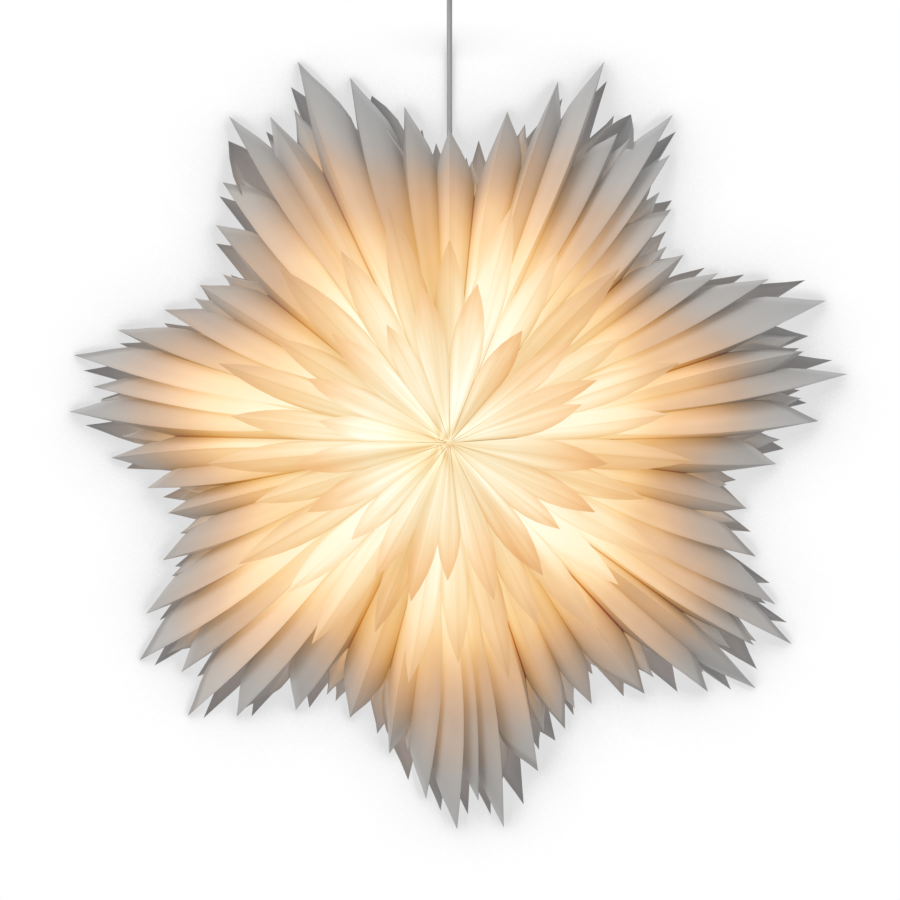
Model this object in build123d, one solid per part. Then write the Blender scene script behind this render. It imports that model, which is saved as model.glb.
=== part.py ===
"""A folded-paper star pendant lamp, in millimetres.

The origin is the centre of the ceiling face. +Z points up, the star's flat axis lies along Y, and its
front faces -Y. Heights in the lamp and the star are counted from the star's centre, and are moved down
by STAR_DROP when the piece is written.
"""
import os
from math import cos, hypot, radians, sin, sqrt

from build123d import *

# ---- Star: place and outline -------------------------------------------------------------------------
STAR_DROP = 525.0                 # ceiling face to the star's centre

# Where one lobe ends and the next begins, counter-clockwise from +X. The paper is opened by hand, so the
# seven lobes aren't equally wide. The first edge points straight up and lets the cord in.
LOBE_EDGE_ANGLES = [90.0, 37.0, -12.0, -61.0, -110.0, -166.0, -212.0]
EDGE_REACH = [313.0, 300.0, 304.0, 297.0, 292.0, 292.0, 295.0]     # ridge on each of those edges
LEAF_REACH = [                                                     # leaves between two edges
    [336.0, 377.0, 411.0, 376.0, 396.0, 362.0, 322.0],
    [320.0, 372.0, 402.0, 378.0, 403.0, 369.0, 327.0],
    [318.0, 357.0, 396.0, 368.0, 392.0, 358.0, 317.0],
    [310.0, 352.0, 387.0, 360.0, 385.0, 356.0, 316.0],
    [308.0, 346.0, 378.0, 352.0, 378.0, 348.0, 309.0],
    [305.0, 340.0, 381.0, 358.0, 385.0, 350.0, 314.0],
    [319.0, 352.0, 395.0, 372.0, 410.0, 378.0, 338.0],
]
NOTCH = 0.80                      # how far out a valley runs, as a share of the leaves beside it
EDGE_BULGE = 0.06                 # crown of a leaf's curved edge, as a share of its chord
REAR_TURN_ANGLE = 1.3             # rear leaves stand this much off the front ones

# ---- Star: paper -------------------------------------------------------------------------------------
PAPER = 1.0                       # a skin's depth, measured along the star's axis
SKIN_GAP = 0.15                   # between skins that lie on each other
OUTER_DEPTH = 99.0                # star's mid plane to the outer tier's centre
TIP_DEPTH = 5.0                   # mid plane to a leaf's tip
CORD_LEAF_DEPTH = 9.0             # the same on the leaf that the cord runs through
VALLEY_DEPTH = 4.0                # mid plane to the outer end of a valley

MIDDLE_REACH = [200.0, 240.0, 217.0, 240.0]                        # petals from one lobe edge to the next
MIDDLE_RIDGE_SLOPE = 0.129        # depth lost for each mm outwards
MIDDLE_VALLEY_SLOPE = 0.220
MIDDLE_NOTCH = 0.78
INNER_REACH = [157.0, 134.0, 157.0]
INNER_RIDGE_SLOPE = 0.052
INNER_VALLEY_SLOPE = 0.125
INNER_NOTCH = 0.72

THREAD_R = 0.6                    # gathering thread, drawn up behind each face's centre
THREAD_LOOP_R = 7.0
THREAD_GAP = 0.2

# ---- Star: closing seam and hanger -------------------------------------------------------------------
CARD = 0.6                        # end card of the leaf stack
CARD_SPACE = 6.6                  # between the two cards, where the cord passes
CARD_BELOW_HOOK = 13.0            # card that hangs below the wire it is hooked on
CARD_HIGH = 285.0
SEAT_GAP = 0.3
PAD_LOW = 175.0
PAD_HIGH = 215.0
PAD_NEAR = 6.0                    # pads keep clear of the cord
PAD_FAR = 26.0
PAD_GAP = 0.05
WIRE_R = 0.8
HANGER_LOOP_R = 9.5
HANGER_ARM_X = 5.2
HANGER_ARM_OUT = 0.25             # arms rise from the loop's outer side
HANGER_HOOK_X = 6.8
HANGER_HEIGHT = 135.0
HANGER_HOOK = 6.0
HANGER_BEND_R = 2.0
HANGER_GAP = 0.15
EYELET_BORE_R = 1.6
EYELET_WALL = 0.5
EYELET_FLANGE = 1.2
EYELET_RIM = 0.3
EYELET_FIT = 0.05

# ---- Bulb, base upwards ------------------------------------------------------------------------------
GLOBE_R = 22.5
GLOBE_WALL = 1.2
GLOBE_CUT = 10.0                  # height at which the globe meets its collar
COLLAR_HEIGHT = 20.0
COLLAR_NECK_R = 8.6
COLLAR_WALL = 1.4
COLLAR_LIP = 4.5
BOARD_THICK = 1.6
BOARD_GAP = 0.4
BASE_R = 6.95                     # small screw cap, outside
BASE_WALL = 0.4
BASE_SUNK = 3.0                   # part of the screw cap inside the collar
BASE_HEIGHT = 20.0
BASE_FIT = 0.05
INSULATOR_HEIGHT = 4.0
INSULATOR_TOP_R = 3.4
TIP_R = 2.4
TIP_HEIGHT = 1.5

# ---- Lamp holder -------------------------------------------------------------------------------------
THREAD_CLEARANCE = 0.08
SHELL_WALL = 0.4
SHELL_FIT = 0.1
INSERT_R = 12.2
INSERT_CROWN = 4.0
TONGUE_GAP = 0.15
TONGUE_THICK = 0.5
TONGUE_R = 3.2
TONGUE_POST_R = 1.2
TONGUE_POST = 1.0
SKIRT_WALL = 1.5
SKIRT_FIT = 0.3
SKIRT_BELOW = 1.5                 # skirt's rim below the insert
CAP_R = 15.0
CAP_HEIGHT = 22.0
CAP_TOP = 2.0
NECK_R = 7.0
NECK_HEIGHT = 15.0
TERMINAL = 6.0
TERMINAL_X = 6.5
TERMINAL_SCREW_R = 1.5
TERMINAL_HEAD = 1.0
CORE_R = 0.9                      # one insulated core inside the holder
CORE_X = 1.3

# ---- Cord --------------------------------------------------------------------------------------------
CORD_R = 2.75
CORD_BORE = 0.25                  # bore's radial clearance round the cord
CORD_STRIPPED = 1.0               # sheath that shows inside a housing
SCREW_R = 1.5
SCREW_FIT = 0.05
SCREW_HEAD_R = 2.2
SCREW_HEAD = 0.9

# ---- Canopy ------------------------------------------------------------------------------------------
CANOPY_R = 48.0
CANOPY_WALL = 1.0
CANOPY_HEIGHT = 60.0
CANOPY_CORNER = 8.0
CEILING_GAP = 0.5
NIPPLE_R = 5.0
NIPPLE_FIT = 0.1
NIPPLE_ABOVE = 9.0
GRIP_R = 9.0
GRIP_FLANGE = 3.0
GRIP_HEIGHT = 12.0
GRIP_MOUTH_R = 5.4
LOCKNUT_ACROSS = 14.0
LOCKNUT_THICK = 5.0
TAIL_ABOVE = 16.0                 # sheathed cord above the canopy's floor

# ---- Ceiling plate and terminal block ----------------------------------------------------------------
PLATE_THICK = 2.0
PLATE_WIDTH = 22.0
EAR_CLEARANCE = 1.0               # ear's outer face to the nut before it
EAR_THICK = 1.5
EAR_DROP = 16.0
FIXING_SPACING = 60.0
FIXING_SLOT_LENGTH = 12.0
FIXING_SLOT_R = 2.25
SCREW_LEVEL = 9.0                 # ceiling face to the thumbscrews' axis
THUMB_R = 2.0
THUMB_TIP_GAP = 0.2
THUMB_HEAD_R = 5.5
THUMB_HEAD = 6.0
THUMB_HEAD_GAP = 0.2
THUMB_FIT = 0.08
FLUTES = 16
FLUTE_R = 0.6
NUT_ACROSS = 7.0
NUT_THICK = 3.2
BLOCK_LENGTH = 28.0
BLOCK_WIDTH = 16.0
BLOCK_HEIGHT = 14.0
BLOCK_WIRE_X = 5.0
BLOCK_HOLE_R = 1.5
BLOCK_HOLE_DEPTH = 7.0
BLOCK_SCREW_R = 1.9
BLOCK_SCREW = 3.0
WIRE_CORE_R = 1.1
WIRE_BOW = 32.0                   # how far each core bows out, which is its slack
WIRE_RISE = 8.0                   # up from the cord before it bows out
WIRE_BEND_R = 6.0
WIRE_EXIT = 6.0                   # below the block where it bows back in
WIRE_EXIT_BEND_R = 4.0

# ---- Heights that follow -----------------------------------------------------------------------------
COLLAR_TOP = GLOBE_CUT + COLLAR_HEIGHT
BASE_LOW = COLLAR_TOP - BASE_SUNK
BASE_TOP = BASE_LOW + BASE_HEIGHT + BASE_SUNK
TIP_LOW = BASE_TOP + INSULATOR_HEIGHT
TIP_TOP = TIP_LOW + TIP_HEIGHT
TONGUE_LOW = TIP_TOP + TONGUE_GAP
INSERT_LOW = COLLAR_TOP + SKIRT_BELOW
INSERT_ROOF = TONGUE_LOW + TONGUE_THICK + TONGUE_POST
INSERT_TOP = INSERT_ROOF + INSERT_CROWN
SHELL_OUT = BASE_R + THREAD_CLEARANCE + SHELL_WALL
SKIRT_IN = INSERT_R + SKIRT_FIT
CAP_LOW = INSERT_TOP
SHOULDER = CAP_LOW + CAP_HEIGHT
NECK_TOP = SHOULDER + NECK_HEIGHT
CAP_ROOF = SHOULDER - CAP_TOP
BORE_R = CORD_R + CORD_BORE
CORD_END = CAP_ROOF - CORD_STRIPPED
CANOPY_FLOOR = -CANOPY_HEIGHT
GRIP_MOUTH = CANOPY_FLOOR - GRIP_HEIGHT
TAIL_TOP = CANOPY_FLOOR + TAIL_ABOVE
BLOCK_LOW = -PLATE_THICK - BLOCK_HEIGHT
CARD_LOW = HANGER_HEIGHT - CARD_BELOW_HOOK
# The nuts' flat outer face lies just inside the canopy's round wall, and the plate ends short of the nuts.
NUT_FACE = sqrt((CANOPY_R - CANOPY_WALL) ** 2 - (NUT_ACROSS / sqrt(3)) ** 2) - PAD_GAP
PLATE_HALF = NUT_FACE - NUT_THICK - EAR_CLEARANCE


# ---- Helpers -----------------------------------------------------------------------------------------
def disc(radius, low, high):
    """An upright cylinder between two heights."""
    return Pos(0, 0, (low + high) / 2) * Cylinder(radius, high - low)


def tube(outer, inner, low, high):
    return disc(outer, low, high) - disc(inner, low, high)


def rod(start, end, radius):
    """A round bar from one point to another."""
    path = Edge.make_line(start, end)
    return extrude(Plane(start, z_dir=path % 0) * Circle(radius), path.length)


def block(size, centre):
    return Pos(*centre) * Box(*size)


def hexagon(across, low, high):
    flat = RegularPolygon(across / 2, 6, major_radius=False)
    return extrude(Pos(0, 0, low) * flat, high - low)


def turned(outline):
    """A turned piece from the (radius, height) points of its half section."""
    corners = [(radius, 0, height) for radius, height in outline]
    return revolve(make_face(Polyline(*corners, close=True)), Axis.Z)


def joined(solids):
    return solids[0].fuse(*solids[1:])


def low_in_star(shape):
    """Moves a piece from the star's centre to its place below the ceiling."""
    return Pos(0, 0, -STAR_DROP) * shape


# ---- Folded paper ------------------------------------------------------------------------------------
def spot(reach, angle, depth, side):
    """A point of the star. side is -1 on the front and +1 on the rear."""
    turn = radians(angle)
    return Vector(reach * cos(turn), side * depth, reach * sin(turn))


def half_leaf(centre, fold, next_fold, side):
    """One flat half of a folded leaf, between a ridge and a valley that both start at the centre."""
    first = spot(*fold, side)
    last = spot(*next_fold, side)
    chord = last - first
    middle = (first + last) / 2
    outwards = middle - centre
    outwards = outwards - chord * (outwards.dot(chord) / chord.dot(chord))
    crown = middle + outwards.normalized() * (EDGE_BULGE * chord.length)
    outline = [Line(centre, first), ThreePointArc(first, crown, last), Line(last, centre)]
    return extrude(make_face(outline), amount=PAPER, dir=(0, -side, 0))


def pleats(centre_depth, folds, side):
    """A skin pleated along the given folds, each (reach, angle, depth)."""
    centre = spot(0, 0, centre_depth, side)
    return joined([half_leaf(centre, fold, after, side) for fold, after in zip(folds, folds[1:])])


def lobe_span(lobe):
    """A lobe's first edge and its width, in degrees."""
    after = LOBE_EDGE_ANGLES[lobe + 1] if lobe + 1 < len(LOBE_EDGE_ANGLES) else LOBE_EDGE_ANGLES[0] - 360
    return LOBE_EDGE_ANGLES[lobe], LOBE_EDGE_ANGLES[lobe] - after


def lobe_folds(lobe, side):
    """A lobe's ridges and valleys, from one edge ridge to the next."""
    start, width = lobe_span(lobe)
    after = (lobe + 1) % len(LOBE_EDGE_ANGLES)
    reaches = [EDGE_REACH[lobe], *LEAF_REACH[lobe], EDGE_REACH[after]]
    last = len(reaches) - 1
    ridges = []
    for place, reach in enumerate(reaches):
        on_edge = place in (0, last)
        shift = REAR_TURN_ANGLE if side > 0 and not on_edge else 0.0
        cord_leaf = (lobe, place) in ((0, 0), (len(LOBE_EDGE_ANGLES) - 1, last))
        depth = CORD_LEAF_DEPTH if cord_leaf else TIP_DEPTH
        ridges.append((reach, start - width * place / last + shift, depth))
    folds = [ridges[0]]
    for one, two in zip(ridges, ridges[1:]):
        folds += [(NOTCH * (one[0] + two[0]) / 2, (one[1] + two[1]) / 2, VALLEY_DEPTH), two]
    return folds


def rosette_folds(reaches, offset, centre_depth, ridge_slope, valley_slope, notch):
    """Folds of a smaller tier, all the way round. offset moves its petals along each lobe."""
    ridges = []
    for lobe in range(len(LOBE_EDGE_ANGLES)):
        start, width = lobe_span(lobe)
        for place, reach in enumerate(reaches):
            ridges.append((reach, start - width * (place + offset) / len(reaches)))
    ridges.append((ridges[0][0], ridges[0][1] - 360))
    folds = []
    for one, two in zip(ridges, ridges[1:]):
        valley = notch * (one[0] + two[0]) / 2
        folds.append((*one, centre_depth - ridge_slope * one[0]))
        folds.append((valley, (one[1] + two[1]) / 2, centre_depth - valley_slope * valley))
    return [*folds, (*ridges[-1], folds[0][2])]


def lobe(number, side):
    return pleats(OUTER_DEPTH, lobe_folds(number, side), side)


def middle_rosette(side):
    depth = OUTER_DEPTH + PAPER + SKIN_GAP
    folds = rosette_folds(MIDDLE_REACH, 0.0, depth, MIDDLE_RIDGE_SLOPE, MIDDLE_VALLEY_SLOPE, MIDDLE_NOTCH)
    return pleats(depth, folds, side)


def inner_rosette(side):
    depth = OUTER_DEPTH + 2 * (PAPER + SKIN_GAP)
    folds = rosette_folds(INNER_REACH, 0.5, depth, INNER_RIDGE_SLOPE, INNER_VALLEY_SLOPE, INNER_NOTCH)
    return pleats(depth, folds, side)


def gather_thread(side):
    """Thread drawn through the inner ends of the leaves, just behind the face's deepest folds."""
    steepest = (OUTER_DEPTH - VALLEY_DEPTH) / (NOTCH * min(EDGE_REACH))
    behind = OUTER_DEPTH - PAPER - steepest * (THREAD_LOOP_R + THREAD_R) - THREAD_GAP
    loop = Rotation(90, 0, 0) * Torus(THREAD_LOOP_R, THREAD_R)
    return Pos(0, side * (behind - THREAD_R), 0) * loop


# ---- Closing seam and hanger -------------------------------------------------------------------------
def skin_depth(hand, side, x, height):
    """Depth of the cord leaf's inner face at a place beside the cord. hand is -1 left and +1 right."""
    lobe_number = 0 if hand > 0 else len(LOBE_EDGE_ANGLES) - 1
    folds = lobe_folds(lobe_number, side)
    ridge, valley = (folds[0], folds[1]) if hand > 0 else (folds[-1], folds[-2])
    centre = spot(0, 0, OUTER_DEPTH, side)
    across = (spot(*ridge, side) - centre).cross(spot(*valley, side) - centre)
    depth = side * (centre.Y - (across.X * x + across.Z * height) / across.Y)
    return depth - PAPER


def seam_card(hand):
    """End card of the leaf stack, glued in along the cord leaf's two faces."""
    near = hand * CARD_SPACE / 2
    far = near + hand * CARD
    front = [skin_depth(hand, -1, far, z) - SEAT_GAP for z in (CARD_LOW, CARD_HIGH)]
    rear = [skin_depth(hand, 1, far, z) - SEAT_GAP for z in (CARD_LOW, CARD_HIGH)]
    corners = [(near, -front[0], CARD_LOW), (near, rear[0], CARD_LOW)]
    corners += [(near, rear[1], CARD_HIGH), (near, -front[1], CARD_HIGH)]
    card = extrude(make_face(Polyline(*corners, close=True)), amount=CARD, dir=(hand, 0, 0))
    barrel = EYELET_BORE_R + EYELET_WALL + EYELET_FIT
    for y, z in eyelet_places():
        card -= rod((near - hand, y, z), (far + hand, y, z), barrel)
    return card


def hanger_arm_y():
    return sqrt((HANGER_LOOP_R + HANGER_ARM_OUT) ** 2 - HANGER_ARM_X ** 2)


def eyelet_places():
    """Each eyelet hangs on the wire by the top of its bore."""
    height = HANGER_HEIGHT - (EYELET_BORE_R - WIRE_R) + EYELET_FIT
    return [(-hanger_arm_y(), height), (hanger_arm_y(), height)]


def seam_eyelets():
    eyelets = []
    for hand in (-1, 1):
        near = hand * CARD_SPACE / 2
        far = near + hand * CARD
        for y, z in eyelet_places():
            inner = (near - hand * EYELET_RIM, y, z)
            outer = (far + hand * EYELET_RIM, y, z)
            barrel_r = EYELET_BORE_R + EYELET_WALL
            shape = rod(inner, outer, barrel_r)
            shape += rod(inner, (near, y, z), barrel_r + EYELET_FLANGE)
            shape += rod((far, y, z), outer, barrel_r + EYELET_FLANGE)
            eyelets.append(shape - rod(inner, outer, EYELET_BORE_R))
    return Compound(eyelets)


def closure_pads(hand):
    """Two pads on one card, in front of the cord and behind it, that grip the other card's pair."""
    near = PAD_GAP
    far = CARD_SPACE / 2
    size = (far - near, PAD_FAR - PAD_NEAR, PAD_HIGH - PAD_LOW)
    x = hand * (near + far) / 2
    z = (PAD_LOW + PAD_HIGH) / 2
    return Compound([block(size, (x, y * (PAD_NEAR + PAD_FAR) / 2, z)) for y in (-1, 1)])


def hanger_wire():
    """A loop that rests on the lamp holder's shoulder, with two arms hooked through the eyelets."""
    loop_height = SHOULDER + HANGER_GAP + WIRE_R
    wire = Pos(0, 0, loop_height) * Torus(HANGER_LOOP_R, WIRE_R)
    for y in (-hanger_arm_y(), hanger_arm_y()):
        route = [(-HANGER_ARM_X, y, loop_height), (-HANGER_ARM_X, y, HANGER_HEIGHT)]
        route += [(HANGER_HOOK_X, y, HANGER_HEIGHT), (HANGER_HOOK_X, y, HANGER_HEIGHT + HANGER_HOOK)]
        section = Plane(route[0], z_dir=(0, 0, 1)) * Circle(WIRE_R)
        wire += sweep(section, path=FilletPolyline(*route, radius=HANGER_BEND_R))
    return wire


# ---- Bulb --------------------------------------------------------------------------------------------
def globe_radius(height):
    return sqrt(GLOBE_R ** 2 - height ** 2)


def bulb_globe():
    hollow = Sphere(GLOBE_R) - Sphere(GLOBE_R - GLOBE_WALL)
    return hollow - disc(2 * GLOBE_R, GLOBE_CUT, GLOBE_CUT + GLOBE_R)


def bulb_collar():
    rim = globe_radius(GLOBE_CUT)
    socket = BASE_R + BASE_FIT
    outline = [(rim - COLLAR_LIP, GLOBE_CUT), (rim, GLOBE_CUT), (COLLAR_NECK_R, BASE_LOW),
               (COLLAR_NECK_R, COLLAR_TOP), (socket, COLLAR_TOP), (socket, BASE_LOW),
               (rim - COLLAR_LIP, GLOBE_CUT + 2 * COLLAR_WALL)]
    return turned(outline)


def led_board():
    inside = sqrt((GLOBE_R - GLOBE_WALL) ** 2 - GLOBE_CUT ** 2)
    return disc(inside - BOARD_GAP, GLOBE_CUT - BOARD_THICK, GLOBE_CUT)


def bulb_screw_base():
    return tube(BASE_R, BASE_R - BASE_WALL, BASE_LOW, BASE_TOP)


def bulb_insulator():
    return turned([(0, BASE_TOP), (BASE_R - SCREW_FIT, BASE_TOP), (INSULATOR_TOP_R, TIP_LOW), (0, TIP_LOW)])


def bulb_tip_contact():
    return fillet(disc(TIP_R, TIP_LOW, TIP_TOP).edges().sort_by(Axis.Z)[-1], TIP_HEIGHT / 2)


# ---- Lamp holder -------------------------------------------------------------------------------------
def holder_screw_shell():
    return tube(SHELL_OUT, SHELL_OUT - SHELL_WALL, INSERT_LOW + SKIRT_BELOW, BASE_TOP)


def holder_insert():
    bore = SHELL_OUT + SHELL_FIT
    return disc(INSERT_R, INSERT_LOW, INSERT_TOP) - disc(bore, INSERT_LOW, INSERT_ROOF)


def holder_centre_tongue():
    leaf_top = TONGUE_LOW + TONGUE_THICK
    return disc(TONGUE_R, TONGUE_LOW, leaf_top) + disc(TONGUE_POST_R, leaf_top, INSERT_ROOF)


def holder_skirt():
    return tube(SKIRT_IN + SKIRT_WALL, SKIRT_IN, INSERT_LOW - SKIRT_BELOW / 2, CAP_LOW)


def holder_cap():
    inside = CAP_R - CAP_TOP
    outline = [(inside, CAP_LOW), (CAP_R, CAP_LOW), (CAP_R, SHOULDER - CAP_TOP),
               (CAP_R - CAP_TOP, SHOULDER), (NECK_R, SHOULDER), (NECK_R, NECK_TOP),
               (BORE_R, NECK_TOP), (BORE_R, CAP_ROOF), (inside, CAP_ROOF)]
    level = SHOULDER + NECK_HEIGHT / 2
    return turned(outline) - rod((0, 0, level), (CAP_R, 0, level), SCREW_R + SCREW_FIT)


def side_screw(face, level):
    """A small screw that bites the cord from +X. face is where its head sits."""
    tip = CORD_R + SCREW_FIT
    return rod((tip, 0, level), (face, 0, level), SCREW_R) + rod(
        (face, 0, level), (face + SCREW_HEAD, 0, level), SCREW_HEAD_R)


def holder_terminals():
    brass = []
    top = INSERT_TOP + TERMINAL
    for x in (-TERMINAL_X, TERMINAL_X):
        clamp = block((TERMINAL, TERMINAL, TERMINAL), (x, 0, (INSERT_TOP + top) / 2))
        middle = INSERT_TOP + TERMINAL / 2
        head = rod((x, -TERMINAL / 2, middle), (x, -TERMINAL / 2 - TERMINAL_HEAD, middle), TERMINAL_SCREW_R)
        brass.append(clamp + head)
    return Compound(brass)


def holder_wires():
    cores = []
    foot = INSERT_TOP + TERMINAL
    for hand in (-1, 1):
        core = rod((hand * CORE_X, 0, CORD_END + CORE_R), (hand * TERMINAL_X, 0, foot - CORE_R), CORE_R)
        cores.append(core - disc(CAP_R, INSERT_LOW, foot) - disc(CAP_R, CORD_END, NECK_TOP))
    return Compound(cores)


def pendant_cord():
    """The free cord hangs straight. Its rounded top turns in the grip's bore as the lamp swings."""
    foot = CORD_END - STAR_DROP
    return disc(CORD_R, foot, GRIP_MOUTH) + Pos(0, 0, GRIP_MOUTH) * Sphere(CORD_R)


# ---- Canopy ------------------------------------------------------------------------------------------
def canopy_cup():
    inside = CANOPY_R - CANOPY_WALL
    hole = NIPPLE_R + NIPPLE_FIT
    shell = turned([(0, CANOPY_FLOOR), (CANOPY_R, CANOPY_FLOOR), (CANOPY_R, -CEILING_GAP),
                    (0, -CEILING_GAP)])
    shell = fillet(shell.edges().sort_by(Axis.Z)[0], CANOPY_CORNER)
    hollow = turned([(0, CANOPY_FLOOR + CANOPY_WALL), (inside, CANOPY_FLOOR + CANOPY_WALL), (inside, 0),
                     (0, 0)])
    hollow = fillet(hollow.edges().sort_by(Axis.Z)[0], CANOPY_CORNER - CANOPY_WALL)
    cup = shell - hollow - disc(hole, CANOPY_FLOOR, CANOPY_FLOOR + CANOPY_WALL)
    return cup - rod((-2 * CANOPY_R, 0, -SCREW_LEVEL), (2 * CANOPY_R, 0, -SCREW_LEVEL), THUMB_R + THUMB_FIT)


def canopy_nuts():
    nuts = []
    nut = hexagon(NUT_ACROSS, 0, NUT_THICK) - disc(THUMB_R + THUMB_FIT, 0, NUT_THICK)
    for hand in (-1, 1):
        seat = Plane((hand * NUT_FACE, 0, -SCREW_LEVEL), x_dir=(0, 1, 0), z_dir=(-hand, 0, 0))
        nuts.append(seat * nut)
    return Compound(nuts)


def thumbscrew(hand):
    """Knurled screw whose tip stops at the ceiling plate's ear."""
    tip = PLATE_HALF + THUMB_TIP_GAP
    under = CANOPY_R + THUMB_HEAD_GAP
    head = disc(THUMB_HEAD_R, under, under + THUMB_HEAD)
    for turn in range(FLUTES):
        head -= Rotation(0, 0, turn * 360 / FLUTES) * Pos(THUMB_HEAD_R, 0, 0) * disc(
            FLUTE_R, under, under + THUMB_HEAD)
    seat = Plane((0, 0, -SCREW_LEVEL), x_dir=(0, 1, 0), z_dir=(hand, 0, 0))
    return seat * (disc(THUMB_R, tip, under) + head)


def cord_grip():
    outline = [(BORE_R, GRIP_MOUTH), (GRIP_MOUTH_R, GRIP_MOUTH), (GRIP_R - GRIP_FLANGE / 2,
               CANOPY_FLOOR - GRIP_FLANGE), (GRIP_R, CANOPY_FLOOR - GRIP_FLANGE), (GRIP_R, CANOPY_FLOOR),
               (NIPPLE_R, CANOPY_FLOOR), (NIPPLE_R, CANOPY_FLOOR + NIPPLE_ABOVE),
               (BORE_R, CANOPY_FLOOR + NIPPLE_ABOVE)]
    level = CANOPY_FLOOR - GRIP_FLANGE / 2
    return turned(outline) - rod((0, 0, level), (CANOPY_R, 0, level), SCREW_R - SCREW_FIT)


def grip_screw():
    """Grub screw in the grip's flange."""
    level = CANOPY_FLOOR - GRIP_FLANGE / 2
    return rod((CORD_R + SCREW_FIT, 0, level), (GRIP_R - SCREW_HEAD, 0, level), SCREW_R - 2 * SCREW_FIT)


def grip_locknut():
    low = CANOPY_FLOOR + CANOPY_WALL
    high = low + LOCKNUT_THICK
    return hexagon(LOCKNUT_ACROSS, low, high) - disc(NIPPLE_R + NIPPLE_FIT, low, high)


def cord_tail():
    return disc(CORD_R, GRIP_MOUTH + CORD_R + CORD_BORE, TAIL_TOP)


# ---- Ceiling plate and wiring ------------------------------------------------------------------------
def ceiling_plate():
    plate = block((2 * PLATE_HALF, PLATE_WIDTH, PLATE_THICK), (0, 0, -PLATE_THICK / 2))
    straight = FIXING_SLOT_LENGTH - 2 * FIXING_SLOT_R
    slot = extrude(SlotCenterToCenter(straight, 2 * FIXING_SLOT_R), PLATE_THICK)
    for hand in (-1, 1):
        plate -= Pos(hand * FIXING_SPACING / 2, 0, -PLATE_THICK) * slot
        ear_x = hand * (PLATE_HALF - EAR_THICK / 2)
        plate += block((EAR_THICK, PLATE_WIDTH, EAR_DROP), (ear_x, 0, -EAR_DROP / 2))
    return plate


def terminal_block():
    body = block((BLOCK_LENGTH, BLOCK_WIDTH, BLOCK_HEIGHT), (0, 0, BLOCK_LOW + BLOCK_HEIGHT / 2))
    level = BLOCK_LOW + BLOCK_HEIGHT / 2
    for x in (-BLOCK_WIRE_X, BLOCK_WIRE_X):
        body -= Pos(x, 0, 0) * disc(BLOCK_HOLE_R, BLOCK_LOW, BLOCK_LOW + BLOCK_HOLE_DEPTH)
        body -= rod((x, -BLOCK_WIDTH, level), (x, -BLOCK_WIDTH / 2 + BLOCK_SCREW, level),
                    BLOCK_SCREW_R + SCREW_FIT)
    return body


def terminal_screws():
    level = BLOCK_LOW + BLOCK_HEIGHT / 2
    face = -BLOCK_WIDTH / 2
    screws = []
    for x in (-BLOCK_WIRE_X, BLOCK_WIRE_X):
        screw = rod((x, face, level), (x, face + BLOCK_SCREW, level), BLOCK_SCREW_R)
        driver_slot = block((2 * BLOCK_SCREW_R, SCREW_HEAD, PAPER), (x, face + SCREW_HEAD / 2, level))
        screws.append(screw - driver_slot)
    return Compound(screws)


def wire_route(hand):
    """Out from the cord's tail, back in under the terminal block and up into it. hand is -1 or +1."""
    low = TAIL_TOP + WIRE_RISE
    high = BLOCK_LOW - WIRE_EXIT
    route = [(CORE_X, TAIL_TOP), (CORE_X, low), (WIRE_BOW, low), (WIRE_BOW, high), (BLOCK_WIRE_X, high),
             (BLOCK_WIRE_X, BLOCK_LOW + BLOCK_HOLE_DEPTH)]
    return [(hand * x, 0, z) for x, z in route]


def mains_wire(hand):
    """One core of the cord. The length in its bow lets the canopy come down."""
    points = wire_route(hand)
    bends = [WIRE_BEND_R] * (len(points) - 3) + [WIRE_EXIT_BEND_R]
    path = FilletPolyline(*points, radius=bends)
    return sweep(Plane(points[0], z_dir=(0, 0, 1)) * Circle(WIRE_CORE_R), path=path)


# ---- Write one file for each piece -------------------------------------------------------------------
def all_pieces():
    pieces = {
        "ceiling_plate": ceiling_plate(), "terminal_block": terminal_block(),
        "terminal_screws": terminal_screws(), "live_wire": mains_wire(1), "neutral_wire": mains_wire(-1),
        "canopy_cup": canopy_cup(), "canopy_nuts": canopy_nuts(), "cord_grip": cord_grip(),
        "grip_locknut": grip_locknut(), "grip_screw": grip_screw(), "cord_tail": cord_tail(),
        "thumbscrew_left": thumbscrew(-1), "thumbscrew_right": thumbscrew(1), "pendant_cord": pendant_cord(),
    }
    in_star = {
        "holder_cap": holder_cap(), "holder_skirt": holder_skirt(), "holder_insert": holder_insert(),
        "holder_screw_shell": holder_screw_shell(), "holder_centre_tongue": holder_centre_tongue(),
        "holder_terminals": holder_terminals(), "holder_wires": holder_wires(),
        "holder_clamp_screw": side_screw(NECK_R, SHOULDER + NECK_HEIGHT / 2),
        "bulb_tip_contact": bulb_tip_contact(), "bulb_globe": bulb_globe(), "bulb_collar": bulb_collar(),
        "bulb_screw_base": bulb_screw_base(), "bulb_insulator": bulb_insulator(), "led_board": led_board(),
        "hanger_wire": hanger_wire(), "seam_card_left": seam_card(-1), "seam_card_right": seam_card(1),
        "hook_pads": closure_pads(-1), "loop_pads": closure_pads(1), "seam_eyelets": seam_eyelets(),
    }
    for face, side in (("front", -1), ("rear", 1)):
        for number in range(len(LOBE_EDGE_ANGLES)):
            in_star[f"{face}_lobe_{number + 1}"] = lobe(number, side)
        in_star[f"{face}_middle_rosette"] = middle_rosette(side)
        in_star[f"{face}_inner_rosette"] = inner_rosette(side)
        in_star[f"{face}_gather_thread"] = gather_thread(side)
    pieces.update({name: low_in_star(shape) for name, shape in in_star.items()})
    return pieces


os.makedirs("parts", exist_ok=True)
for name, shape in all_pieces().items():
    export_step(shape, f"parts/{name}.step")

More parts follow.
